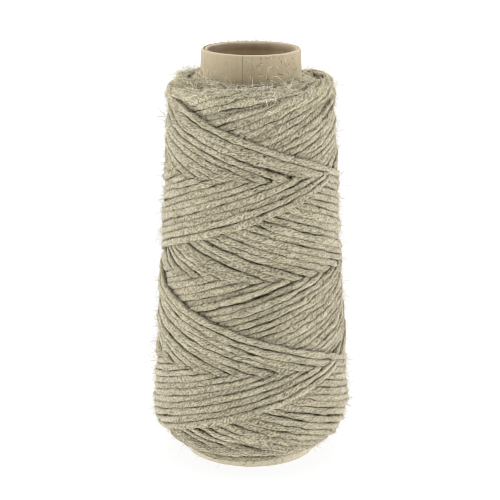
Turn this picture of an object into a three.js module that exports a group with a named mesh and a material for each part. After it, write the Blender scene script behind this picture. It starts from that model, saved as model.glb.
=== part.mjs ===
// A spool of linen twine: a paper cone, open right through, with a cross-wound body of twine on it.
// Millimetres, +Z up, standing on the bottom edge of the cone, with the origin in the middle of it.
import * as THREE from 'three';

// The paper cone
const coneHeight = 170;
const coneBaseRadius = 27;
const coneTopRadius = 20;
const coneWall = 1.2;
const lipThickness = 3; // the top edge is rolled inwards
const lipRise = 1.6; // height of the rounded part of the lip
const lipDepth = 2.4; // from the top down to the lip's lower edge, inside
const lipReturn = 1.2; // height over which it meets the wall again
const lipSteps = 6; // facets over the lip
const coneSides = 48;

// The wound twine
const twineDiameter = 2; // as it lies, pressed flat under tension
const twineBottom = 4.2;
const twineTop = 158;
const seatGap = 0.3; // between the twine and the cone
const lead = 78; // height gained in one turn of the twine
const newestReversal = -100; // degrees; where the last stroke turned back, at both ends
const turnsPerStroke = 2;
const bandRelief = 0.8; // how proud the newest bands stand
const twineSides = 64;

// The outline of the winding, from the bottom end to the top end: the radius at each height.
const windingOutline = [
  { height: 4.2, radius: 29.3 },
  { height: 6, radius: 32.4 },
  { height: 8.8, radius: 36 },
  { height: 12.5, radius: 39.4 },
  { height: 16.5, radius: 41.1 },
  { height: 20, radius: 41.5 },
  { height: 147, radius: 33.6 },
  { height: 152, radius: 33.2 },
  { height: 155.3, radius: 32.4 },
  { height: 157, radius: 30.8 },
  { height: 157.8, radius: 27.5 },
  { height: 158, radius: 22.5 },
];
const bandStep = 4.3; // height between the rings of facets on the side of the winding

function coneRadius(height) {
  return coneBaseRadius + (coneTopRadius - coneBaseRadius) * height / coneHeight;
}

// Turns a closed profile, given as [radius, height] pairs, round the Z axis.
function revolve(profile, sides) {
  const points = profile.map(([radius, height]) => new THREE.Vector2(radius, height));
  const geometry = new THREE.LatheGeometry([...points, points[0]], sides);
  return geometry.rotateX(Math.PI / 2);
}

// The rolled lip, as points over its top from the outside to the inside.
function lipPoints(outer) {
  const points = [];
  for (let i = 0; i <= lipSteps; i++) {
    const angle = Math.PI * i / lipSteps;
    points.push([
      outer - lipThickness / 2 * (1 - Math.cos(angle)),
      coneHeight - lipRise * (1 - Math.sin(angle)),
    ]);
  }
  return points;
}

function cardboardCone() {
  const meeting = coneHeight - lipDepth - lipReturn;
  const outer = coneRadius(coneHeight - lipRise);
  const profile = [
    [coneBaseRadius - coneWall, 0],
    [coneBaseRadius, 0],
    ...lipPoints(outer),
    [outer - lipThickness, coneHeight - lipDepth],
    [coneRadius(meeting) - coneWall, meeting],
  ];
  const mesh = new THREE.Mesh(revolve(profile, coneSides), kraftBoard());
  mesh.name = 'cardboard_cone';
  return mesh;
}

// The smooth radius of the winding at a height.
function windingRadius(height) {
  const next = windingOutline.findIndex((row) => row.height >= height);
  const high = windingOutline[Math.max(next, 1)];
  const low = windingOutline[Math.max(next, 1) - 1];
  const share = (height - low.height) / (high.height - low.height);
  return low.radius + (high.radius - low.radius) * share;
}

// How long ago each family of strands was laid at a place, from 0, newest, to 1, one whole cover ago.
function ages(angle, height) {
  const turned = (angle - THREE.MathUtils.degToRad(newestReversal)) / (2 * Math.PI);
  const down = THREE.MathUtils.euclideanModulo((twineTop - height) / lead - turned, 1);
  const up = THREE.MathUtils.euclideanModulo(
    (height - twineTop) / lead + turnsPerStroke - turned, 1);
  return { down, up };
}

// The bands stand proud where the strands are newest, and fade out towards both ends of the winding.
function relief(angle, height) {
  const { down, up } = ages(angle, height);
  const toEnd = Math.min(height - twineBottom, twineTop - height);
  const fade = THREE.MathUtils.smoothstep(toEnd, bandStep, 3 * bandStep);
  return bandRelief * fade * (1 - down - up);
}

// The heights of the facet rings: the outline's own rows, with even steps along the long side.
function ringHeights() {
  const heights = [];
  windingOutline.forEach((row, i) => {
    const before = windingOutline[i - 1];
    if (before) {
      const steps = Math.ceil((row.height - before.height) / bandStep);
      for (let j = 1; j < steps; j++) {
        heights.push(before.height + (row.height - before.height) * j / steps);
      }
    }
    heights.push(row.height);
  });
  return heights;
}

function woundTwine() {
  const bore = (height) => coneRadius(height) + seatGap;
  const heights = ringHeights();
  const profile = [
    ...heights.map((height) => [windingRadius(height), height]),
    [bore(twineTop), twineTop],
    [bore(twineBottom), twineBottom],
  ];
  const geometry = revolve(profile, twineSides);
  const position = geometry.getAttribute('position');
  for (let i = 0; i < position.count; i++) {
    const height = position.getZ(i);
    const radius = Math.hypot(position.getX(i), position.getY(i));
    if (radius < windingRadius(height) - twineDiameter / 4) continue; // the bore stays smooth
    const angle = Math.atan2(position.getX(i), -position.getY(i));
    const scale = (radius + relief(angle, height)) / radius;
    position.setXY(i, position.getX(i) * scale, position.getY(i) * scale);
  }
  geometry.computeVertexNormals();
  const mesh = new THREE.Mesh(geometry, spunFlax());
  mesh.name = 'twine';
  return mesh;
}

function kraftBoard() {
  return new THREE.MeshStandardMaterial({ color: 0xa8997d, roughness: 0.85, metalness: 0 });
}

function spunFlax() {
  return new THREE.MeshStandardMaterial({ color: 0xb3a98a, roughness: 0.9, metalness: 0 });
}

const spool = new THREE.Group();
spool.name = 'spool_of_linen_twine';
spool.add(cardboardCone(), woundTwine());

export default spool;
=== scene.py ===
import math
import bpy
import numpy as np
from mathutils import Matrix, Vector


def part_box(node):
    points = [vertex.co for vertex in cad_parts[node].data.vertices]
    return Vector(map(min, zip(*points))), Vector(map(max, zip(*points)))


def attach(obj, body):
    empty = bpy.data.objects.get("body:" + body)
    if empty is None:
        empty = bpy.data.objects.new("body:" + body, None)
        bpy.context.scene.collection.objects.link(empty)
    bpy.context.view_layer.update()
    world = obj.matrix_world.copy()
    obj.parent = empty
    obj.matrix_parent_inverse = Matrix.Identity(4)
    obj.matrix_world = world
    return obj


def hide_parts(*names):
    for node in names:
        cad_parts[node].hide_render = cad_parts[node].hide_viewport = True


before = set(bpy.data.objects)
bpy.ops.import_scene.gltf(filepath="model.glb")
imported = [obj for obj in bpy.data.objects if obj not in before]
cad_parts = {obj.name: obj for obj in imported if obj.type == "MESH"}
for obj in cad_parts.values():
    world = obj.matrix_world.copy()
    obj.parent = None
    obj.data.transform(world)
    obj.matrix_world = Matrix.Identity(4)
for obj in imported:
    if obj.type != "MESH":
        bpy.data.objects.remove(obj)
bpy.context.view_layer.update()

# A spool of linen twine. The paper cone and the wound twine are made again here in full detail, in the
# places of the two plain solids of the model. Lengths are in metres and angles in degrees, unless a note
# says otherwise.
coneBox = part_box("cardboard_cone")
coneHeight = coneBox[1][2]
coneFootRadius = coneBox[1][0]
mm = 0.001

cone = {
    "topRadius": 20 * mm,
    "wall": 1.2 * mm,
    "lipRise": 1.6 * mm,
    "rimSection": [  # the rolled edge: mm inwards and down, and how much is crest, inside and ply line; further in, the ply line paints shade under the roll
        (0.03, 1.15, 0, 0, 0), (0.10, 0.75, 0, 0, 0), (0.24, 0.38, 0.3, 0, 0), (0.46, 0.14, 0.8, 0, 0),
        (0.75, 0.03, 1, 0, 0), (0.98, 0.05, 1, 0, 0.4), (1.12, 0.16, 0.8, 0, 1), (1.22, 0.45, 0, 0, 1),
        (1.32, 0.16, 0.8, 0, 1), (1.48, 0.05, 1, 0, 0.4), (1.80, 0.08, 0.8, 0.2, 0),
        (2.10, 0.28, 0.2, 0.7, 0.4), (2.35, 0.62, 0, 1, 0.8), (2.50, 1.10, 0, 1, 0.8),
        (2.54, 1.70, 0, 1, 0.6), (2.40, 2.30, 0, 1, 0.2), (2.00, 2.90, 0, 1, 0), (1.45, 3.40, 0, 1, 0),
    ],
    "rollFrom": 1.3,  # further in than this, the roll is uneven
    "rollUnevenness": 0.1,
    "gapeAngle": -95,  # on this side the roll is widest, its groove gapes and the painted shade under it is darkest
    "gape": 0.16,
    "seamAngle": -9,  # where the outer sheet of paper ends, as a low step
    "seamStep": 0.16 * mm,
    "rimWave": 0.1 * mm,  # how uneven the rim's height is
    "footWave": 0.12 * mm,
    "footFlare": 0.5 * mm,  # the foot's edge is splayed a little
    "columns": 260,
    "rows": 24,
}

winding = {
    "covers": 4,
    "strokesPerCover": 27,  # there and back, so 27 strands lie side by side in one lead
    "turnsPerStroke": 2,  # one way
    "lastReversal": -118,  # the angle where the last double stroke began, seen from the front
    "topCorner": 162.5 * mm,  # where a stroke would turn back if it turned sharply
    "footCorner": 5 * mm,
    "firstFootCorner": -1.7 * mm,  # the first cover reaches lower down
    "footSag": ((0.6 * mm, -80, 1), (1.4 * mm, 68, 3)),  # how deep, where it is lowest, and how often
    "footLeast": 2.7 * mm,  # no strand's middle lies lower, so that the cone shows under the twine
    "openAbove": 147 * mm,  # above this and below the next the strands' sides start to be in the open, and their painted shade fades
    "openBelow": 20 * mm,
    "topEase": 60,  # half the angle over which a strand turns back
    "topEaseSpread": 16,
    "footEase": 55,
    "footEaseSpread": 10,
    "topEaseJitter": 6,
    "footEaseJitter": 5,
    "leastEase": 25,
    "outline": [  # height and radius of the finished winding, in mm
        (4.2, 29.3), (6, 32.4), (8.8, 36), (12.5, 39.2), (16.5, 41), (20, 41.3),
        (147, 33.9), (152.5, 33.5), (156.5, 32.8), (158.5, 31.5),
    ],
    "settling": 0.5,  # the share of any excess height that is squeezed out, about once each double stroke
    "levelling": 0.75,  # how far the finished winding is brought to the outline
    "proud": 0.35 * mm,  # how far a strand may stand above it
    "sideWander": 0.26 * mm,
    "wander": ((0.7, 300), (0.5, 90), (0.3, 18)),  # its parts: the share of each, and its spacing in steps
    "seenDepth": 0.7 * mm,  # a turn is modelled if it comes this near the surface
    "seenMargin": 7,  # steps kept beyond each stretch that is seen
    "seenMarginTop": 16,  # the same, above the next height
    "marginTopAbove": 146 * mm,
    "endFaces": {1: (140 * mm, 1 * mm), -1: (22 * mm, 0.6 * mm)},  # at the top and foot, and how deep
    "seat": 0.3 * mm,  # between the twine and the cone
}

strand = {
    "width": 2.9 * mm,  # pressed flat under tension
    "thickness": 1.95 * mm,
    "squareness": 3.2,  # 2 is an ellipse
    "unevenness": 0.14,
    "swellings": ((0.6, 26), (0.9, 9), (0.15, 5)),  # of the width, as the wander's parts
    "slubs": 0.16,
    "twistPitch": 24 * mm,
    "lobeHeight": 0.05 * mm,
    "lumps": 0.045 * mm,  # of single tufts of fibre
    "outerPoints": 8,  # round the side that shows
    "outerFrom": -16,  # where that side starts, so it reaches a little under both edges
    "underPoints": 2,
    "step": 4,  # in steps of the height map
    "sunk": 0.4,  # how far its middle stands above what it lies on, as a share of its thickness
    "perPiece": 180000,  # about the most triangles in one piece
}

random = np.random.default_rng(17)


def coneRadius(height):
    return coneFootRadius + (cone["topRadius"] - coneFootRadius) * height / coneHeight


def fullThickness(height):
    # From the cone out to the winding's outline.
    heights, radii = np.array(winding["outline"]).T * mm
    return np.interp(height, heights, radii) - coneRadius(height) - winding["seat"]


def smoothNoise(count, spacing):
    # One random number each "spacing" samples, joined by a smooth curve. Spread about 1.
    knots = random.standard_normal(int(count / spacing) + 4)
    place = np.arange(count) / spacing
    whole = place.astype(int)
    part = place - whole
    part = part * part * (3 - 2 * part)
    return knots[whole] * (1 - part) + knots[whole + 1] * part


def layered(count, parts):
    return sum(share * smoothNoise(count, spacing) for share, spacing in parts)


def outwardAt(angle):
    # The level direction away from the axis. The front is at 0, and angles grow to the right.
    return np.stack([np.sin(angle), -np.cos(angle), np.zeros(len(angle))], 1)


# The winding is laid down strand by strand on a height map of the cone, as the machine does it.
mapColumns = 720
mapRowHeight = 0.35 * mm
mapLow = -2 * mm
mapRows = 480
columnAngle = 2 * math.pi / mapColumns
meanRadius = 34 * mm  # of the winding, about


def mapRow(height):
    return np.clip(np.rint((height - mapLow) / mapRowHeight).astype(int), 0, mapRows - 1)


def rowsUnder(height, width, level):
    # The rows of the map under each strand, and where they lie across it: -1 and 1 are its edges.
    middle = (height - mapLow) / mapRowHeight
    row = np.clip(np.rint(middle).astype(int)[:, None] + np.arange(-6, 7), 0, mapRows - 1)
    return row, (row - middle[:, None]) * mapRowHeight * level[:, None] / (width[:, None] / 2)


def crownShape(across):
    # How high a strand's upper side stands there, as a share of half its thickness.
    return np.clip(1 - np.abs(across) ** strand["squareness"], 0, 1) ** (1 / strand["squareness"])


def layPath():
    # The whole length of twine: the angle and height of each step, before it is pressed down.
    w = winding
    cycles = w["covers"] * w["strokesPerCover"]
    shift = 2 * math.pi / w["strokesPerCover"]
    stroke = 2 * math.pi * w["turnsPerStroke"] + shift / 2
    count = int(cycles * 2 * stroke / columnAngle)
    turned = np.arange(count) * columnAngle
    share = turned / turned[-1]
    angle = math.radians(w["lastReversal"]) + turned - (cycles - 1) * 2 * stroke
    fromTop = turned % (2 * stroke)
    fromTop = np.minimum(fromTop, 2 * stroke - fromTop)
    low = w["firstFootCorner"] + (w["footCorner"] - w["firstFootCorner"]) * share**2
    slope = (w["topCorner"] - low) / stroke
    height = w["topCorner"] - slope * fromTop
    # Each reversal turns over its own angle, so the ends of the winding are uneven.
    nearTop = np.rint(turned / (2 * stroke)).astype(int)
    topEase = w["topEase"] + w["topEaseSpread"] * np.sin(nearTop * 0.83 + 0.4)
    topEase += w["topEaseJitter"] * random.standard_normal(nearTop.max() + 1)[nearTop]
    nearFoot = (turned / (2 * stroke)).astype(int)
    footEase = w["footEase"] + w["footEaseSpread"] * np.sin(nearFoot * 0.67)
    footEase += w["footEaseJitter"] * random.standard_normal(nearFoot.max() + 1)[nearFoot]
    topEase = np.radians(np.maximum(topEase, w["leastEase"]))
    footEase = np.radians(np.maximum(footEase, w["leastEase"]))
    fromFoot = stroke - fromTop
    eased = w["topCorner"] - slope * (topEase / 2 + fromTop**2 / (2 * topEase))
    height = np.where(fromTop < topEase, eased, height)
    eased = low + slope * (footEase / 2 + fromFoot**2 / (2 * footEase))
    height = np.where(fromFoot < footEase, eased, height)
    height += w["sideWander"] * layered(count, w["wander"])
    sagging = np.clip((20 * mm - height) / (15 * mm), 0, 1)
    for depth, lowest, lows in w["footSag"]:
        height -= depth * np.cos((angle - math.radians(lowest)) * lows) * sagging
    return angle, np.maximum(height, w["footLeast"])


def softened(values, spread):
    # The map blurred by "spread" metres, round the spool and along it.
    turns = np.fft.fftfreq(mapColumns)[:, None] / (columnAngle * meanRadius)
    along = np.fft.rfftfreq(mapRows)[None, :] / mapRowHeight
    passed = np.exp(-2 * (math.pi * spread) ** 2 * (turns**2 + along**2))
    return np.fft.irfft2(np.fft.rfft2(values) * passed, s=values.shape)


def tautened(contact):
    # A taut strand bridges the hollows under it, as far as the curve of the spool lets it.
    path = contact.copy()
    for reach in (1, 2, 4, 8, 16, 8, 4, 2, 1):
        bridge = (path[: -2 * reach] + path[2 * reach :]) / 2
        sag = (reach * columnAngle) ** 2 * meanRadius / 2
        path[reach:-reach] = np.maximum(path[reach:-reach], bridge - sag)
    kernel = np.hanning(11)[1:-1]
    kernel /= kernel.sum()
    return np.convolve(np.pad(path, 4, mode="edge"), kernel, mode="valid")


def wind():
    w = winding
    angle, height = layPath()
    count = len(angle)
    uneven = layered(count, strand["swellings"]) * strand["unevenness"]
    slub = strand["slubs"] * np.clip(smoothNoise(count, 60) - 1.2, 0, 1.5)
    width = strand["width"] * (1 + uneven + slub)
    thick = strand["thickness"] * (1 + 0.5 * uneven + 0.8 * slub + 0.05 * smoothNoise(count, 40))
    rise = np.gradient(height) / (columnAngle * (coneRadius(height) + 10 * mm))
    level = 1 / np.sqrt(1 + rise**2)  # cosine of the strand's angle
    column = np.rint(angle / columnAngle).astype(int) % mapColumns
    rowAt = mapRow(height)
    fullHeight = fullThickness(mapLow + np.arange(mapRows) * mapRowHeight)
    surface = np.zeros((mapColumns, mapRows))
    pressed = np.ones((mapColumns, mapRows))
    lift = np.zeros(count)
    roll = np.zeros(count)
    chunk = 353  # about half a turn, so that a strand never lies on itself within one
    ahead = 40
    known = np.zeros(0)
    chunksPerSettling = 8
    for number, start in enumerate(range(0, count, chunk)):
        first = max(start - ahead, 0)
        end = min(start + chunk, count)
        near = slice(first, min(end + ahead, count))
        here = slice(start - first, end - first)
        there = slice(start, end)
        row, across = rowsUnder(height[near], width[near], level[near])
        under = surface[column[near, None], row]
        body = np.abs(across) < 0.8
        mean = (under * body).sum(1) / body.sum(1)
        top = np.where(body, under, -1).max(1)
        contact = 0.7 * mean + 0.3 * top
        if start:
            contact[:ahead] = known
        path = tautened(contact)
        tilt = ((under - mean[:, None]) * across * body).sum(1) / (across**2 * body).sum(1)
        tilt = np.convolve(np.pad(tilt, 6, mode="edge"), np.ones(13) / 13, mode="valid")
        known = path[here][-ahead:]
        lift[there] = (path[here] + strand["sunk"] * thick[there]) / pressed[column[there], rowAt[there]]
        roll[there] = np.arctan(tilt[here] / (width[there] / 2))
        shape = crownShape(across[here]) * thick[there, None] / 2
        crown = path[here, None] + strand["sunk"] * thick[there, None] + shape
        crown = np.where(shape > 0, crown, 0)
        np.maximum.at(surface, (column[there, None], row[here]), crown)
        if number % chunksPerSettling == chunksPerSettling - 1:
            # What stands too high is squeezed down evenly, as later turns press on it.
            wanted = fullHeight * (0.08 + 0.92 * end / count)
            excess = softened(np.maximum(surface - wanted, 0), 4.5 * mm)
            squeeze = 1 - w["settling"] * excess / np.maximum(surface, 2 * mm)
            surface *= squeeze
            pressed *= squeeze
    return {
        "angle": angle,
        "height": height,
        "lift": lift * pressed[column, rowAt],
        "roll": np.clip(roll, -0.5, 0.5),
        "width": width,
        "thick": thick,
        "column": column,
        "surface": surface,
        "level": level,
    }


def ownCrown(wound, index):
    # How high each strand stands across its width, against the finished surface there.
    row, across = rowsUnder(*(wound[part][index] for part in ("height", "width", "level")))
    shape = crownShape(across)
    crown = wound["lift"][index, None] + shape * wound["thick"][index, None] / 2
    finished = wound["surface"][wound["column"][index, None], row]
    return np.where(shape > 0, crown - finished, -1).max(1)


def seenFromEnd(wound, way):
    # Which steps show in the ring-shaped face at the top (way 1) or the foot (way -1).
    reach = np.arange(-2, 3)
    bins = np.rint(wound["lift"] / (0.45 * mm)).astype(int).clip(0, 50)[:, None] + reach + 3
    column = np.broadcast_to(wound["column"][:, None], bins.shape)
    height = way * wound["height"]
    face = np.full((mapColumns, 60), -1.0)
    np.maximum.at(face, (column, bins), np.broadcast_to(height[:, None], bins.shape))
    limit, tolerance = winding["endFaces"][way]
    return (height > way * limit) & (height[:, None] > face[column, bins] - tolerance).any(1)


def visibleRuns(wound):
    # Only the stretches of twine that can be seen are modelled: what lies deep inside is left out.
    seen = ownCrown(wound, np.arange(len(wound["angle"]))) > -winding["seenDepth"]
    seen |= seenFromEnd(wound, 1) | seenFromEnd(wound, -1)
    atTop = wound["height"] > winding["marginTopAbove"]
    spread = [
        np.convolve(part, np.ones(2 * reach + 1), mode="same") > 0
        for part, reach in ((seen, winding["seenMargin"]), (seen & atTop, winding["seenMarginTop"]))
    ]
    seen = spread[0] | spread[1]
    edges = np.flatnonzero(np.diff(np.concatenate([[0], seen.astype(int), [0]])))
    return [(a, b) for a, b in zip(edges[::2], edges[1::2]) if b - a > 3 * strand["step"]]


def drawToOutline(wound):
    # Brings the winding's broad shape to the outline, and keeps its local ups and downs.
    heights = mapLow + np.arange(mapRows) * mapRowHeight
    surface = wound["surface"]
    covered = (surface > 2 * mm).astype(float)
    broad = softened(surface * covered, 3.5 * mm) / np.maximum(softened(covered, 3.5 * mm), 0.05)
    ratio = fullThickness(heights) / np.maximum(broad, 4 * mm)
    ratio = ratio.clip(0.4, 1.8) ** winding["levelling"]
    wound["surface"] = surface * ratio
    wound["lift"] = wound["lift"] * ratio[wound["column"], mapRow(wound["height"])]
    middle = (heights > 25 * mm) & (heights < 140 * mm)  # clear of the rounded ends
    mean = wound["surface"].mean(0)[middle]
    wanted = fullThickness(heights[middle]) - 0.35 * mm
    wound["lift"] *= (wanted / mean).mean()
    wound["surface"] *= (wanted / mean).mean()
    # A strand that still stands proud is pressed in, and being taut it has no sharp bends.
    limit = fullThickness(wound["height"]) + winding["proud"] - wound["thick"] / 2
    lift = np.where(wound["lift"] > limit, limit + 0.25 * (wound["lift"] - limit), wound["lift"])
    kernel = np.hanning(27)[1:-1]
    wound["lift"] = np.convolve(np.pad(lift, 12, mode="edge"), kernel / kernel.sum(), mode="valid")


def strandFrames(wound):
    # The middle line of the twine and the directions across it and outwards, at every step.
    radius = coneRadius(wound["height"]) + winding["seat"] + wound["lift"]
    angle = wound["angle"]
    outward = outwardAt(angle)
    place = outward * radius[:, None]
    place[:, 2] = wound["height"]
    along = np.gradient(place, axis=0)
    along /= np.linalg.norm(along, axis=1)[:, None]
    side = np.cross(outward, along)
    side /= np.linalg.norm(side, axis=1)[:, None]
    out = np.cross(along, side)
    cosine, sine = np.cos(wound["roll"])[:, None], np.sin(wound["roll"])[:, None]
    sign = np.sign(side[:, 2:3])  # a positive roll lifts the upper edge
    side, out = side * cosine + out * sine * sign, out * cosine - side * sine * sign
    return place, side, out


def meshFrom(name, points, corners, material, smooth=True):
    # corners is an array of quads or triangles.
    mesh = bpy.data.meshes.new(name)
    mesh.vertices.add(len(points))
    mesh.vertices.foreach_set("co", np.asarray(points, np.float32).ravel())
    faces, size = corners.shape
    mesh.loops.add(faces * size)
    mesh.loops.foreach_set("vertex_index", corners.astype(np.int32).ravel())
    mesh.polygons.add(faces)
    mesh.polygons.foreach_set("loop_start", np.arange(faces, dtype=np.int32) * size)
    mesh.polygons.foreach_set("use_smooth", np.full(faces, smooth))
    mesh.update(calc_edges=True)
    mesh.validate()
    mesh.materials.append(material)
    piece = bpy.data.objects.new(name, mesh)
    bpy.context.scene.collection.objects.link(piece)
    return piece


def addAttribute(piece, name, kind, values):
    layer = piece.data.attributes.new(name, kind, "POINT")
    field = "value" if kind == "FLOAT" else "vector"
    layer.data.foreach_set(field, np.asarray(values, np.float32).ravel())


def tubes(runs, wound, frames, travelled):
    # Closed tubes along the runs: points, quads, the fibre coordinates of each point, and each quad
    # corner's place on the bake map, where a length of twine lies along each row.
    place, side, out = frames
    low = strand["outerFrom"]
    outer = np.linspace(low, 180 - low, strand["outerPoints"])
    under = np.linspace(180 - low, 360 + low, strand["underPoints"] + 2)[1:-1]
    turn = np.radians(np.concatenate([outer, under]))
    sides = len(turn)
    power = 2 / strand["squareness"]
    wide = np.sign(np.cos(turn)) * np.abs(np.cos(turn)) ** power
    tall = np.sign(np.sin(turn)) * np.abs(np.sin(turn)) ** power
    points, quads, spots = [], [], []
    fibre, facing = [], []
    total = 0
    for first, last in runs:
        index = np.arange(first, last, strand["step"])
        rings = len(index)
        twist = 2 * math.pi * travelled[index] / strand["twistPitch"]
        phase = turn[None, :] + twist[:, None]
        lobes = strand["lobeHeight"] * np.cos(2 * phase)
        lobes += strand["lumps"] * random.standard_normal(lobes.shape)
        half = wound["width"][index, None] / 2 + lobes
        tallHalf = wound["thick"][index, None] / 2 + lobes
        # Both ends of a run close in to a blunt tip.
        fromEnd = np.minimum(np.arange(rings), np.arange(rings)[::-1])
        tip = np.clip((fromEnd + 0.15) / 1.5, 0, 1)[:, None] ** 0.5
        ring = (
            place[index, None, :]
            + side[index, None, :] * (half * wide * tip)[:, :, None]
            + out[index, None, :] * (tallHalf * tall * tip)[:, :, None]
        )
        points.append(ring.reshape(-1, 3))
        here, around = np.meshgrid(np.arange(rings - 1), np.arange(sides), indexing="ij")
        one = total + here * sides + around
        two = total + here * sides + (around + 1) % sides
        quads.append(np.stack([one, two, two + sides, one + sides], 2).reshape(-1, 4))
        at = total // sides + here
        spots.append(np.stack([at, around], 2).reshape(-1, 2))
        for end, way in ((0, -1), (rings - 1, 1)):
            loop = total + end * sides + np.arange(sides)[::way]
            k = np.arange(1, sides // 2)
            quads.append(np.stack([loop[k - 1], loop[k], loop[sides - 1 - k], loop[(sides - k) % sides]], 1))
            spots.append(np.stack([np.full(len(k), total // sides + min(end, rings - 2)), k], 1))
        fibre.append(np.stack([
            np.cos(phase), np.sin(phase), np.repeat(travelled[index, None] / mm, sides, 1)
        ], 2).reshape(-1, 3))
        # How far each point faces out of the gaps, which sets the painted shade on the twine's sides. Round
        # the top and the foot the upper and under sides are in the open too.
        height = wound["height"][index, None]
        rise = side[index, 2:] * np.cos(turn) + out[index, 2:] * np.sin(turn)
        above = np.clip((height - winding["openAbove"]) / (6 * mm), 0, 1)
        below = np.clip((winding["openBelow"] - height) / (8 * mm), 0, 1)
        facing.append(np.maximum(np.maximum(np.sin(turn), rise * above), -rise * below).ravel())
        total += rings * sides
    spots = np.concatenate(spots)
    rows = max(int(math.sqrt(total / sides * 0.35)), 1)
    perRow = math.ceil(total / sides / rows)
    u = (spots[:, 0] % perRow)[:, None] + np.array([0, 0, 1, 1])
    v = (spots[:, 0] // perRow + spots[:, 1] / sides)[:, None] + np.array([0, 1, 1, 0]) / sides
    onMap = np.stack([u / perRow, v / rows], 2)
    return *(np.concatenate(part) for part in (points, quads, fibre, facing)), onMap


def addBakeMap(piece, onMap):
    layer = piece.data.uv_layers.new(name="OFBake", do_init=False)
    layer.uv.foreach_set("vector", onMap.astype(np.float32).ravel())


def addGridMap(piece, across, along):
    # A bake map for a closed grid of quads, whose rows run "along".
    i, j = np.meshgrid(np.arange(across), np.arange(along), indexing="ij")
    u = (i[:, :, None] + np.array([0, 1, 1, 0])) / across
    v = (j[:, :, None] + np.array([0, 0, 1, 1])) / along
    addBakeMap(piece, np.stack([u, v], 3))


def closedGrid(across, along, corners):
    # Quads over a grid that closes on itself both ways. Each has these four corners, in steps from its own.
    i, j = np.meshgrid(np.arange(across), np.arange(along), indexing="ij")
    return np.stack([(i + a) % across * along + (j + b) % along for a, b in corners], 2).reshape(-1, 4)


def standsFor(piece, node):
    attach(piece, "root")
    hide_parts(node)


def makeTwine(wound, frames, material):
    # The turns are shared out over several pieces, each a modest size.
    place = frames[0]
    travelled = np.concatenate([[0], np.cumsum(np.linalg.norm(np.diff(place, axis=0), axis=1))])
    runs = visibleRuns(wound)
    ringTotal = sum(-(-(b - a) // strand["step"]) for a, b in runs)
    pieces = math.ceil(ringTotal * (strand["outerPoints"] + strand["underPoints"]) * 2 / strand["perPiece"])
    target = ringTotal / pieces
    groups, held = [[]], 0
    for a, b in runs:
        groups[-1].append((a, b))
        held += -(-(b - a) // strand["step"])
        if held > target * len(groups):
            groups.append([])
    for number, group in enumerate(g for g in groups if g):
        points, quads, fibre, facing, onMap = tubes(group, wound, frames, travelled)
        piece = meshFrom(f"twineTurns{number + 1}", points, quads, material)
        addAttribute(piece, "fibre", "FLOAT_VECTOR", fibre)
        addAttribute(piece, "facing", "FLOAT", facing)
        addBakeMap(piece, onMap)
        standsFor(piece, "twine")
    print(f"twine: {len(runs)} lengths, {ringTotal} rings, {travelled[-1]:.1f} m wound")
    return runs


packed = {
    "foot": 8 * mm,
    "top": 155 * mm,
    "columns": 120,
    "rows": 90,
    "below": 1.7 * mm,  # how far under the surface of the turns it lies
    "blur": 1.5 * mm,
}


def makePackedYarn(wound, material):
    # What lies under the visible turns, closed to the cone at both ends.
    columns, rows = packed["columns"], packed["rows"]
    heights = np.linspace(packed["foot"], packed["top"], rows)
    around = np.arange(columns) * (mapColumns // columns)
    depth = softened(wound["surface"], packed["blur"])[around][:, mapRow(heights)] - packed["below"]
    depth = np.minimum(depth, fullThickness(heights) - packed["below"])
    radius = coneRadius(heights) + winding["seat"] + np.maximum(depth, 1 * mm)
    angle = around * columnAngle
    inner = coneRadius(heights) + winding["seat"] / 2
    profileRadius = np.concatenate([np.tile(inner[:1], (columns, 1)), radius,
                                    np.tile(inner[-1:], (columns, 1))], 1)
    profileHeight = np.concatenate([heights[:1], heights, heights[-1:]])
    points = np.stack([
        profileRadius * np.sin(angle)[:, None],
        -profileRadius * np.cos(angle)[:, None],
        np.tile(profileHeight, (columns, 1)),
    ], 2).reshape(-1, 3)
    across = rows + 2
    quads = closedGrid(columns, across, ((0, 0), (1, 0), (1, 1), (0, 1)))
    piece = meshFrom("packedYarn", points, quads, material)
    addGridMap(piece, columns, across)
    standsFor(piece, "twine")


hair = {
    "longest": 9 * mm,
    "kinds": {
        # how many, their length and radius in mm, how steeply they leave the yarn and how far they turn
        # away from its line, their curl, their links, and their tone from dark to pale
        "surface": (13000, 2.6, 0.055, 0.1, 0.4, 0.5, 3, (0, 1)),
        "bridging": (6000, 1.9, 0.075, 0.06, 0.6, 0.3, 2, (0.2, 0.8)),
        "short": (15000, 1.9, 0.045, 1.5, 0.8, 0.4, 2, (0, 0.3)),
        "standing": (3000, 3.8, 0.045, 0.9, 0.7, 0.5, 4, (0, 0.25)),
        "collar": (2900, 3.4, 0.07, 0.3, 1.0, 0.8, 4, (0.75, 1)),  # round the top, where the turns are loose
        "tuft": (1300, 3.0, 0.055, 0.45, 1.0, 1.7, 5, (0.0, 0.7)),  # curled up at the edge of the top
    },
    "tuftAngles": ((-78, 16), (-118, 18), (-147, 12), (62, 20)),  # with their spread
    "tuftFrom": 5 * mm,  # from the cone
    "topFrom": 149,  # in mm: above this and below the next the fuzz is thinner
    "footFrom": 16,
    "thinning": 0.75,
    "upturn": 1.2,  # how far the fibres at the top stand up
    "lengthSpread": 0.55,
    "radiusSpread": 0.35,
    "overFloor": 0.4 * mm,
    "offCone": 0.12 * mm,
    "onWall": 60,  # single fibres that cling to the cone above the yarn
    "wallFrom": 157 * mm,
    "wallReach": 7 * mm,
    "onRim": 150,
    "rimWidth": 1.5 * mm,
    "rimAngle": 180,  # they sit round the back
    "rimSpread": 0.7,
    # Of both: lengths and radius in mm, sideways spread, lift, curl, links and tones.
    "wallKind": ((1, 2.8), 0.035, 0.9, 0.03, 0.9, 6, (0.4, 0.8)),
    "rimKind": ((0.8, 2.2), 0.04, 0.4, 0.25, 1.2, 5, (0, 0.5)),
}


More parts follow.
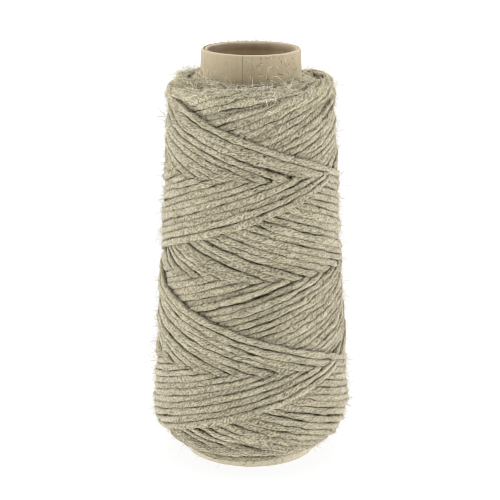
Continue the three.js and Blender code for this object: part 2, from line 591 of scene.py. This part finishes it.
def hairLines(start, along, out, sideways, lengths, lift, curl, links):
    # Curved lines: each turns about an axis of its own, and a little at random.
    count = len(start)
    direction = along * random.choice([-1.0, 1.0], (count, 1))
    direction += np.cross(along, out) * sideways[:, None]
    direction += out * (0.05 + np.abs(random.normal(0, lift, (count, 1))))
    direction /= np.linalg.norm(direction, axis=1)[:, None]
    axis = random.standard_normal((count, 3))
    line = [start]
    for k in range(links):
        turn = curl * random.normal(1, 0.6, (count, 1))
        direction = direction + np.cross(axis, direction) * turn * 2 / links
        direction /= np.linalg.norm(direction, axis=1)[:, None]
        line.append(line[-1] + direction * (lengths / links)[:, None])
    return np.stack(line, 1)


def hairMesh(lines, radius):
    # Each line becomes a thin three-sided tube that closes to a point at both ends.
    count, rings = lines.shape[:2]
    direction = np.gradient(lines, axis=1)
    direction /= np.linalg.norm(direction, axis=2)[:, :, None] + 1e-12
    first = np.cross(direction, np.array([0.31, 0.52, 0.79]))
    first /= np.linalg.norm(first, axis=2)[:, :, None] + 1e-12
    second = np.cross(direction, first)
    size = radius[:, None, None] * np.linspace(1, 0.5, rings)[None, :, None]
    turn = 2 * math.pi * np.arange(3) / 3
    body = (
        lines[:, :, None, :]
        + first[:, :, None, :] * (size * np.cos(turn))[:, :, :, None]
        + second[:, :, None, :] * (size * np.sin(turn))[:, :, :, None]
    )[:, 1:-1]
    points = np.concatenate([lines[:, :1], body.reshape(count, -1, 3), lines[:, -1:]], 1)
    faces = []
    last = points.shape[1] - 1
    for s in range(3):
        t = (s + 1) % 3
        faces.append([0, 1 + t, 1 + s])
        faces.append([last, last - 3 + s, last - 3 + t])
        for k in range(rings - 3):
            a, b = 1 + 3 * k + s, 1 + 3 * k + t
            faces += [[a, b, b + 3], [a, b + 3, a + 3]]
    faces = np.array(faces)[None] + (np.arange(count) * points.shape[1])[:, None, None]
    return points.reshape(-1, 3), faces.reshape(-1, 3), points.shape[1]


def addHairs(name, lines, radius, tones, material):
    lines[:, :, 2] = np.maximum(lines[:, :, 2], hair["overFloor"])
    # None may pass through the cone's wall.
    far = np.linalg.norm(lines[:, :, :2], axis=2)
    least = coneRadius(lines[:, :, 2]) + hair["offCone"]
    least = np.where(lines[:, :, 2] < coneHeight - 1 * mm, least, 0)
    lines[:, :, :2] *= (np.maximum(far, least) / far)[:, :, None]
    count = len(lines)
    points, faces, each = hairMesh(lines, radius * mm * random.lognormal(0, hair["radiusSpread"], count))
    piece = meshFrom(name, points, faces, material)
    addAttribute(piece, "tone", "FLOAT", np.repeat(random.uniform(*tones, count), each))
    # On the bake map each fibre has a small square of its own.
    wide = math.ceil(math.sqrt(count))
    which = np.repeat(np.arange(count), len(faces) // count)
    corner = np.stack([which % wide, which // wide], 1)[:, None] + 0.1
    addBakeMap(piece, (corner + np.array([(0, 0), (0.8, 0), (0, 0.8)])) / wide)
    standsFor(piece, "twine")
    print(f"{name}: {len(faces)} triangles")


def addStray(name, start, along, out, kind, material):
    longs, radius, spread, lift, curl, links, tones = hair[kind]
    lengths = random.uniform(*longs, len(start)) * mm
    sideways = random.normal(0, spread, len(start))
    lines = hairLines(start, along, out, sideways, lengths, lift, curl, links)
    addHairs(name, lines, radius, tones, material)


def makeHairs(wound, frames, runs, material):
    # Ends of flax fibre that stick out of the twine.
    place, side, out = frames
    index = np.concatenate([np.arange(a, b) for a, b in runs])
    index = index[ownCrown(wound, index) > -0.3 * mm]
    heights = wound["height"][index]
    top = np.clip((heights / mm - hair["topFrom"]) / 5, 0, 1)
    foot = np.clip((hair["footFrom"] - heights / mm) / 8, 0, 1)
    for kind, (count, length, radius, lift, spread, curl, links, tones) in hair["kinds"].items():
        weight = (1 - hair["thinning"] * foot) * (1 - hair["thinning"] * top)
        if kind == "collar":
            weight = top * (1.5 - wound["lift"][index] / (12 * mm)).clip(0.2, 1.5)
        if kind == "tuft":
            turned = np.degrees(wound["angle"][index]) % 360
            away = [(((turned - at + 180) % 360) - 180) / wide for at, wide in hair["tuftAngles"]]
            weight = top * sum(np.exp(-(part**2)) for part in away)
            weight *= wound["lift"][index] > hair["tuftFrom"]
        chosen = random.choice(index, count, p=weight / weight.sum())
        along = np.cross(out[chosen], side[chosen])
        around = random.uniform(-0.95, 0.95, count)
        sideways = random.normal(0, spread, count)
        if kind == "bridging":  # across the gap to the next turn
            around = np.sign(around) * (0.7 + 0.2 * np.abs(around))
            sideways = np.sign(around) * (0.2 + np.abs(sideways))
        half, tall = wound["width"][chosen] / 2, wound["thick"][chosen] / 2
        start = place[chosen] + side[chosen] * (around * half)[:, None]
        start += out[chosen] * (np.sqrt(1 - around**2) * tall * 0.93)[:, None]
        outward = out[chosen] + (np.array([0, 0, hair["upturn"]]) if kind in ("collar", "tuft") else 0)
        outward /= np.linalg.norm(outward, axis=1)[:, None]
        lengths = length * mm * random.lognormal(0, hair["lengthSpread"], count)
        lengths = np.minimum(lengths, hair["longest"])
        lines = hairLines(start, along, outward, sideways, lengths, lift, curl, links)
        addHairs(f"{kind}Fibres", lines, radius, tones, material)
    # Some fibres cling to the cone above the yarn, and more are caught on its rim.
    count = hair["onWall"]
    angle = random.uniform(-math.pi, math.pi, count)
    height = hair["wallFrom"] + hair["wallReach"] * random.random(count) ** 4
    outward = outwardAt(angle)
    start = outward * (coneRadius(height) + 0.1 * mm)[:, None]
    start[:, 2] = height
    upwards = np.cross(outward, np.stack([np.cos(angle), np.sin(angle), 0 * angle], 1))
    addStray("wallFibres", start, upwards, outward, "wallKind", material)
    count = hair["onRim"]
    angle = math.radians(hair["rimAngle"]) + random.normal(0, hair["rimSpread"], count)
    outward = outwardAt(angle)
    start = outward * (cone["topRadius"] - hair["rimWidth"] * random.random((count, 1)))
    start[:, 2] = coneHeight - 0.15 * mm
    around = np.cross(outward, np.array([0, 0, 1.0]))
    addStray("rimFibres", start, around, np.tile([0, 0, 1.0], (count, 1)), "rimKind", material)


def waves(angle, numbers, fall=1):
    # An uneven line round the cone, from a few waves.
    return sum(np.sin(angle * k + k * k) / k**fall for k in numbers)


def makeCone(material):
    # The wall's section goes up the outside, over the rolled edge and down the inside, and is turned
    # round the axis. The outer sheet of paper ends in a low step.
    c = cone
    since = np.concatenate([[0], np.linspace(0.0015, 0.9975, c["columns"] - 2), [0.9988]])
    angle = math.radians(c["seamAngle"]) + 2 * math.pi * since
    seam = c["seamStep"] * (1 - np.clip(since * 6, 0, 1)) * (since < 0.9)
    seamLine = 0.6 * ((since == 0) | (since > 0.998))
    wave = c["rimWave"] * (waves(angle, (2, 3, 5, 9, 14, 23)) - 1)
    footWave = c["footWave"] * waves(angle, (3, 7, 13, 29, 47), 0.7)
    towards = np.cos(angle - math.radians(c["gapeAngle"]))
    roll = 1 + c["gape"] * towards + c["rollUnevenness"] * waves(angle, (4, 7, 11, 16), 0.8)
    # How strongly the ply line and the painted shade under the roll show: most where the groove gapes.
    gape = 0.35 + 0.65 * np.clip(towards, 0, 1) ** 1.5
    rows, marks = [], []

    def addRow(radius, height, *shares):
        radius = np.broadcast_to(radius, angle.shape)
        rows.append(np.stack([radius * np.sin(angle), -radius * np.cos(angle), np.maximum(height, 0)], 1))
        marks.append([np.broadcast_to(share, angle.shape) for share in shares])

    top = coneHeight - c["lipRise"]
    for share in np.linspace(0, 1, c["rows"]) ** 1.3:
        height = 0.2 * mm + share * (top - 0.2 * mm)
        uneven = footWave * (1 - share) ** 24 + wave * share**12
        flare = c["footFlare"] * (1 - share) ** 30
        line = seamLine * np.clip(12 * share - 10.8, 0.1, 1)  # it opens only near the top
        addRow(coneRadius(height) + flare + seam, height + uneven, 0, 0, line)
    for inward, down, crest, within, line in c["rimSection"]:
        further = np.maximum(inward - c["rollFrom"], 0)
        radius = coneRadius(top) - (inward + further * (roll - 1) * 2) * mm
        outerSheet = inward < 1
        line = np.maximum(line * gape, seamLine * outerSheet)
        addRow(radius + seam * outerSheet, coneHeight - down * mm + wave, within, crest, line)
    for share in np.linspace(1, 0, c["rows"]) ** 1.3:
        height = 0.3 * mm + share * (coneHeight - 4.6 * mm)
        radius = coneRadius(height) - c["wall"] + c["footFlare"] * (1 - share) ** 30
        addRow(radius, height + footWave * (1 - share) ** 24, 1, 0, 0)
    count = len(angle)
    quads = closedGrid(len(rows), count, ((0, 0), (0, 1), (1, 1), (1, 0)))
    piece = meshFrom("paperCone", np.concatenate(rows), quads, material)
    for which, name in enumerate(("within", "rimBurnishAndHighlight", "line")):
        addAttribute(piece, name, "FLOAT", np.concatenate([mark[which] for mark in marks]))
    scuffed = np.clip(1 - np.abs(since - 0.12) / 0.15, 0, 1) ** 0.5 * 0.8 + 0.2
    # Painted light: the cone is painted paler towards its foot, to lift the shade under the twine's
    # overhang.
    foot = np.clip(1 - np.concatenate(rows)[:, 2] / (14 * mm), 0, 1)
    addAttribute(piece, "foot", "FLOAT", foot)
    addAttribute(piece, "scuffed", "FLOAT", np.maximum(np.tile(scuffed, len(rows)), 0.8 * foot))
    addGridMap(piece, len(rows), count)
    standsFor(piece, "cardboard_cone")


def linear(hexColour):
    channels = [int(hexColour[i : i + 2], 16) / 255 for i in (1, 3, 5)]
    return tuple(c / 12.92 if c <= 0.04045 else ((c + 0.055) / 1.055) ** 2.4 for c in channels) + (1,)


def addNode(tree, kind, inputs=None, stops=(), **settings):
    # Adds a node, with its settings, the values or links of its inputs, and a colour ramp's stops.
    node = tree.nodes.new(kind)
    for name, value in settings.items():
        setattr(node, name, value)
    for name, value in (inputs or {}).items():
        if isinstance(value, bpy.types.NodeSocket):
            tree.links.new(value, node.inputs[name])
        else:
            node.inputs[name].default_value = value
    for i, (place, colour) in enumerate(stops):
        marks = node.color_ramp.elements
        mark = marks[i] if i < 2 else marks.new(place)
        mark.position = place
        mark.color = linear(colour)
    return node


def combined(tree, operation, *values):
    return addNode(tree, "ShaderNodeMath", dict(enumerate(values)), operation=operation).outputs[0]


def ranged(tree, value, start, end, first=0, last=1, **settings):
    # What goes from start to end comes out going from first to last, and no further.
    values = dict(enumerate((value, start, end, first, last)))
    return addNode(tree, "ShaderNodeMapRange", values, **settings).outputs[0]


def mixed(tree, share, below, above, **settings):
    inputs = {0: share, 6: below, 7: above}
    return addNode(tree, "ShaderNodeMix", inputs, data_type="RGBA", **settings).outputs[2]


def ramp(tree, share, *stops):
    # A ramp of colour: its lowest stop, its highest, and then any between.
    return addNode(tree, "ShaderNodeValToRGB", {0: share}, stops).outputs[0]


def noise(tree, place, scale, detail, roughness=0.5, distortion=0):
    return addNode(tree, "ShaderNodeTexNoise", {
        "Vector": place, "Scale": scale, "Detail": detail, "Roughness": roughness,
        "Distortion": distortion,
    }).outputs[0]


def marked(tree, name):
    # What the mesh itself carries at each point.
    return addNode(tree, "ShaderNodeAttribute", attribute_name=name).outputs["Fac"]


def newMaterial(name, inputs):
    material = bpy.data.materials.new(name)
    material.use_nodes = True
    tree = material.node_tree
    tree.nodes.clear()
    shader = addNode(tree, "ShaderNodeBsdfPrincipled", inputs)
    addNode(tree, "ShaderNodeOutputMaterial", {"Surface": shader.outputs[0]})
    return material, tree, shader


flax = {
    "patterns": {  # width and length in mm, detail and roughness
        "grain": (0.42, 0.8, 0, 0.5),  # a real fibre is a tenth as wide, too fine to show
        "streaks": (0.36, 2.4, 1, 0.6),
        "tufts": (0.9, 3, 2, 0.6),
        "tones": (5, 30, 2, 0.5),
        "stems": (0.5, 1.6, 1, 0.5),
        "filling": (2, 3.5, 1, 0.5),  # where the gaps between turns are filled with fibre
    },
    "shares": {"streaks": 0.6, "grain": 1.2, "tufts": 0.1},  # of its colour
    "colours": (
        (0.4, "#6c644e"),  # painted shade between the fibres
        (0.59, "#aaa48f"),  # single bleached fibres
        (0.49, "#8b8370"),  # most of it
    ),
    "tints": ((0.36, "#918d79"), (0.64, "#9d927d")),  # from cool to warm
    "tintShare": 0.12,
    "straw": "#5a4d31",  # bits of stem left in the yarn
    "strawShare": 0.6,
    "strawFrom": 0.7,
    "strawFull": 0.76,
    "paintedShade": "#382e14",  # painted shade, low on the sides of the twine, among its fibres
    "paintedShadeFrom": 0.42,  # how far round its side a strand's painted shade starts, and where it is darkest
    "paintedShadeFull": -0.2,
    "filledTo": 0.4,  # a gap is filled with fibre below this and open above the next; a filled gap has less painted shade
    "openFrom": 0.52,
    "filledDepth": 0.15,  # how much painted shade a filled gap still has
    "raggedness": 2.0,  # of the edge of the painted shade, as fibres cross it
    "tuftDepth": 0.3 * mm,
    "sheen": 0.35,
    "sheenTint": "#f3f2ea",
}


def alongFibres(tree, fibre, width, length, detail, roughness):
    # Noise drawn out along the fibres.
    radius = strand["width"] / 2 / mm
    drawn = addNode(tree, "ShaderNodeMapping", {"Vector": fibre, "Scale": (radius, radius, width / length)})
    return noise(tree, drawn.outputs[0], 1 / width, detail, roughness)


def spunFlax():
    # Dry-spun flax: long matt fibres with a soft sheen, uneven in tone, with bits of dark straw in them, and
    # with painted shade between the fibres and low on each strand's sides.
    material, tree, shader = newMaterial("spunFlax", {
        "Roughness": 0.8, "IOR": 1.53, "Specular IOR Level": 0.25,
        "Sheen Weight": flax["sheen"], "Sheen Roughness": 0.3, "Sheen Tint": linear(flax["sheenTint"]),
    })
    fibre = addNode(tree, "ShaderNodeAttribute", attribute_name="fibre").outputs["Vector"]
    pattern = {name: alongFibres(tree, fibre, *sizes) for name, sizes in flax["patterns"].items()}
    whole = sum(flax["shares"].values())
    together = 0.0
    for name, share in flax["shares"].items():
        together = combined(tree, "MULTIPLY_ADD", pattern[name], share / whole, together)
    colour = ramp(tree, together, *flax["colours"])
    colour = mixed(tree, flax["tintShare"], colour, ramp(tree, pattern["tones"], *flax["tints"]))
    straw = ranged(tree, pattern["stems"], flax["strawFrom"], flax["strawFull"], 0, flax["strawShare"])
    colour = mixed(tree, straw, colour, linear(flax["straw"]))
    # Painted shade: each strand's sides are coloured darker towards the gaps between the turns, with a
    # ragged edge, and less where a gap is filled with fibre.
    ragged = combined(tree, "MULTIPLY_ADD", pattern["grain"], 1.6, pattern["tufts"])
    ragged = combined(tree, "SUBTRACT", ragged, 1.3)  # its mean, so that it goes both ways
    facing = combined(tree, "MULTIPLY_ADD", ragged, flax["raggedness"], marked(tree, "facing"))
    low = ranged(tree, facing, flax["paintedShadeFrom"], flax["paintedShadeFull"])
    opened = ranged(tree, pattern["filling"], flax["filledTo"], flax["openFrom"], flax["filledDepth"], 1)
    low = combined(tree, "MULTIPLY", low, opened)
    colour = mixed(tree, low, colour, linear(flax["paintedShade"]))
    sheen = ranged(tree, low, 0, 0.8, flax["sheen"], 0)
    tree.links.new(sheen, shader.inputs["Sheen Weight"])
    raised = combined(tree, "MULTIPLY_ADD", pattern["grain"], 0.2, pattern["streaks"])
    bump = addNode(tree, "ShaderNodeBump", {
        "Strength": 1.0, "Distance": flax["tuftDepth"], "Height": raised,
    }).outputs[0]
    tree.links.new(colour, shader.inputs["Base Color"])
    tree.links.new(bump, shader.inputs["Normal"])
    return material


looseColours = ((0.0, "#6b6446"), (1.0, "#e2dbc3"), (0.45, "#bcb08c"))


def looseFibre():
    # Single flax hairs, pale and a little glossy, each of its own tone.
    material, tree, shader = newMaterial("looseFlaxFibre", {
        "Roughness": 0.6, "IOR": 1.53, "Specular IOR Level": 0.2,
    })
    colour = ramp(tree, marked(tree, "tone"), *looseColours)
    tree.links.new(colour, shader.inputs["Base Color"])
    return material


packedLook = {
    # Painted shade: the yarn under the turns is coloured dark, as the shade between them.
    "colours": ((0.35, "#4b3f24"), (0.65, "#6b5e3f")),
    "fluffAndPaintedLight": ((0.38, "#958968"), (0.62, "#d3c59f")),  # in the open ring at the top: fluffed flax, painted lighter to lift the shade round the cone
    "fluffAndLightFrom": 150 * mm,
    "fluffAndLightFull": 154.5 * mm,
    "fluffAndLightShare": 0.85,
    "grains": 1100,  # to the metre
}


def packedFlax():
    # The yarn deep in the gaps, painted dark as the shade there: flax without its surface fibres.
    material, tree, shader = newMaterial("packedFlax", {
        "Roughness": 0.95, "IOR": 1.53, "Specular IOR Level": 0.1,
    })
    place = addNode(tree, "ShaderNodeTexCoord").outputs["Object"]
    grain = noise(tree, place, packedLook["grains"], 2)
    height = addNode(tree, "ShaderNodeSeparateXYZ", {0: place}).outputs["Z"]
    # Towards the top it is painted lighter: fluffed flax in the open, and painted light that lifts the shade
    # round the cone.
    atTop = ranged(
        tree, height, packedLook["fluffAndLightFrom"], packedLook["fluffAndLightFull"], 0, packedLook["fluffAndLightShare"]
    )
    fluffAndPaintedLight = ramp(tree, grain, *packedLook["fluffAndPaintedLight"])
    colour = mixed(tree, atTop, ramp(tree, grain, *packedLook["colours"]), fluffAndPaintedLight)
    tree.links.new(colour, shader.inputs["Base Color"])
    return material


board = {
    "outside": ((0.34, "#92856d"), (0.66, "#9c9077")),
    # painted lighter than the outside, to lift the shade inside the cone
    "inside": "#c5b49a",
    "foot": "#c6bea9",  # painted pale, to lift the shade under the twine's overhang
    "rimBurnishAndHighlight": "#a5997f",  # lighter along the crest of the roll: burnished paper, and a painted highlight
    # the ply line, and painted shade under the roll
    "plyLineAndShade": "#453a29",
    "scratch": "#6f6249",
    "paleFibre": "#bbaf95",
    "mottle": 6,  # in mm
    "streakWidth": 0.9,
    "scratchSpacing": 3,
    "scratchWidth": 0.12,
    "grainDepth": 0.05 * mm,
    "dustAndPaintedLight": "#bdaf90",  # of flax, low on the part that shows, and painted light that lifts the shade cast there by the twine
    "dustAndLightFrom": 164 * mm,  # downwards
    "dustAndLightFull": 156 * mm,
    "dustAndLightShare": 0.7,
    # Their shift in the noise that draws them, and the level from which it shows them.
    "marks": (("scratch", 0, 0.54), ("paleFibre", 0.3, 0.59), ("scratch", 0.7, 0.55)),
    "insideShades": (0.82, 1.1),
}


def thinMarks(tree, place, spacing, width, offset, cover):
    # Short curved lines, about this many mm apart and wide: parts of a noise pattern's level lines.
    moved = addNode(tree, "ShaderNodeMapping", {
        "Vector": place, "Location": (offset, offset, offset),
    }).outputs[0]
    fromLine = combined(tree, "SUBTRACT", noise(tree, moved, 1 / (spacing * mm), 1, distortion=0.6), 0.5)
    edge = 0.5 * width / spacing
    line = ranged(tree, combined(tree, "ABSOLUTE", fromLine), edge, 0.3 * edge)
    breaks = noise(tree, moved, 1.3 / (spacing * mm), 0)
    return combined(tree, "MULTIPLY", line, ranged(tree, breaks, cover, cover + 0.04))


def kraftBoard():
    # Rolled kraft paper board: matt, faintly streaked up its length, scratched and with fibres stuck on;
    # painted lighter against shade inside and low down, with painted light and shade on its roll.
    material, tree, shader = newMaterial("kraftBoard", {
        "Roughness": 0.8, "IOR": 1.5, "Specular IOR Level": 0.35,
    })
    place = addNode(tree, "ShaderNodeTexCoord").outputs["Object"]
    mottle = noise(tree, place, 1 / (board["mottle"] * mm), 5, 0.65)
    upright = addNode(tree, "ShaderNodeMapping", {"Vector": place, "Scale": (1, 1, 0.04)}).outputs[0]
    streaks = noise(tree, upright, 1 / (board["streakWidth"] * mm), 2)
    paper = combined(tree, "MULTIPLY", combined(tree, "ADD", mottle, streaks), 0.5)
    colour = ramp(tree, paper, *board["outside"])
    height = addNode(tree, "ShaderNodeSeparateXYZ", {0: place}).outputs["Z"]
    # Lighter low down: flax dust, and painted light against the twine's shade.
    dustAndLightMask = ranged(tree, height, board["dustAndLightFrom"], board["dustAndLightFull"], 0, board["dustAndLightShare"])
    colour = mixed(tree, dustAndLightMask, colour, linear(board["dustAndPaintedLight"]))
    # Paler towards the foot: painted light against the shade under the twine.
    colour = mixed(tree, marked(tree, "foot"), colour, linear(board["foot"]))
    for mark, offset, cover in board["marks"]:
        lines = thinMarks(tree, place, board["scratchSpacing"], board["scratchWidth"], offset, cover)
        here = combined(tree, "MULTIPLY", lines, marked(tree, "scuffed"))
        colour = mixed(tree, here, colour, linear(board[mark]))
    # Lighter inside, as painted light against its shade; lighter on the crest, burnished paper with a
    # painted highlight; darker along the ply line, with painted shade under the roll.
    for mark, tone in (("within", "inside"), ("rimBurnishAndHighlight", "rimBurnishAndHighlight"), ("line", "plyLineAndShade")):
        colour = mixed(tree, marked(tree, mark), colour, linear(board[tone]))
    shade = ranged(tree, mottle, 0.3, 0.7, *board["insideShades"])
    grey = addNode(tree, "ShaderNodeCombineColor", {0: shade, 1: shade, 2: shade}).outputs[0]
    colour = mixed(tree, marked(tree, "within"), colour, grey, blend_type="MULTIPLY")
    bump = addNode(tree, "ShaderNodeBump", {
        "Strength": 0.5, "Distance": board["grainDepth"], "Height": paper,
    }).outputs[0]
    tree.links.new(colour, shader.inputs["Base Color"])
    tree.links.new(bump, shader.inputs["Normal"])
    return material


view = {
    "distance": 622.2 * mm,
    "height": 264.0 * mm,
    "sideways": -0.4 * mm,
    "tiltDown": 16,
    "lens": 112.1,
    "sensor": 36,  # in mm, as the lens
}

studio = {
    "floorSize": 3.5,  # half its side
    "floorColours": ((0.3, "#f7f7f6"), (0.7, "#fbfbfa")),
    "floorGrain": 25 * mm,
    "floorGlow": 1.0,  # the floor is a white sheet, lit from below
    "floorSeen": "#4c4c4b",
    "floorGlowSeen": 0.92,
    "roomFront": 0.03,  # brightness of the room behind the camera
    "roomBack": 1,
    "roomAbove": 0.9,  # added overhead
    "skylight": 2.2,  # a broad, soft light from above
    "skylightSpread": 45,
    "skylightTilt": -12,
    "lights": {  # place, width and power
        "leftSoftbox": ((-0.8, -0.05, 0.35), 0.8, 3.45),
        "rightSoftbox": ((0.8, -0.05, 0.35), 0.8, 3.2),
    },
}


def makeStudio():
    # A pale floor under the spool, a bright room round it, and large soft lights.
    size = studio["floorSize"]
    corners = np.array([(-size, -size, 0), (size, -size, 0), (size, size, 0), (-size, size, 0)])
    material, tree, shader = newMaterial("paleFloor", {
        "Roughness": 0.9, "Specular IOR Level": 0.1,
        "Emission Color": (1, 1, 1, 1),
    })
    place = addNode(tree, "ShaderNodeTexCoord").outputs["Object"]
    grain = noise(tree, place, 1 / studio["floorGrain"], 3)
    colour = ramp(tree, grain, *studio["floorColours"])
    # To the eye it is plain white and not glaring, so that fine fibres still show against it.
    seen = addNode(tree, "ShaderNodeLightPath").outputs["Is Camera Ray"]
    colour = mixed(tree, seen, colour, linear(studio["floorSeen"]))
    glow = ranged(tree, seen, 0, 1, studio["floorGlow"], studio["floorGlowSeen"])
    tree.links.new(colour, shader.inputs["Base Color"])
    tree.links.new(glow, shader.inputs["Emission Strength"])
    meshFrom("floor", corners, np.array([[0, 1, 2, 3]]), material, smooth=False)
    world = bpy.data.worlds.new("room")
    bpy.context.scene.world = world
    world.use_nodes = True
    room = world.node_tree
    way = addNode(room, "ShaderNodeTexCoord").outputs["Generated"]
    way = addNode(room, "ShaderNodeSeparateXYZ", {0: way}).outputs
    around = ranged(room, way["Y"], -0.8, 0.3, studio["roomFront"], studio["roomBack"],
                    interpolation_type="SMOOTHSTEP")
    above = ranged(room, way["Z"], 0.2, 1, 0, studio["roomAbove"])
    total = combined(room, "ADD", around, above)
    room.links.new(total, room.nodes["Background"].inputs["Strength"])
    room.nodes["Background"].inputs["Color"].default_value = (1, 1, 1, 1)
    skylight = bpy.data.objects.new("skylight", bpy.data.lights.new("skylight", "SUN"))
    skylight.data.energy = studio["skylight"]
    skylight.data.angle = math.radians(studio["skylightSpread"])
    skylight.rotation_euler = (math.radians(studio["skylightTilt"]), 0, 0)
    bpy.context.scene.collection.objects.link(skylight)
    for name, (place, width, power) in studio["lights"].items():
        lamp = bpy.data.objects.new(name, bpy.data.lights.new(name, "AREA"))
        lamp.data.size = width
        lamp.data.energy = power
        lamp.location = place
        towards = Vector((0, 0, coneHeight / 2)) - lamp.location
        lamp.rotation_euler = towards.to_track_quat("-Z", "Y").to_euler()
        bpy.context.scene.collection.objects.link(lamp)
    bpy.context.scene.view_settings.view_transform = "Standard"


def makeCamera():
    camera = bpy.data.objects.new("camera", bpy.data.cameras.new("camera"))
    camera.data.lens = view["lens"]
    camera.data.sensor_width = view["sensor"]
    camera.location = (view["sideways"], -view["distance"], view["height"])
    camera.rotation_euler = (math.radians(90 - view["tiltDown"]), 0, 0)
    bpy.context.scene.collection.objects.link(camera)
    bpy.context.scene.camera = camera
    bpy.context.scene.cycles.filter_width = 0.8  # keeps single fibres crisp


wound = wind()
drawToOutline(wound)
frames = strandFrames(wound)
print("winding laid")
runs = makeTwine(wound, frames, spunFlax())
makePackedYarn(wound, packedFlax())
makeHairs(wound, frames, runs, looseFibre())
makeCone(kraftBoard())
print("cone made")
makeStudio()
makeCamera()
print("lights and camera set")
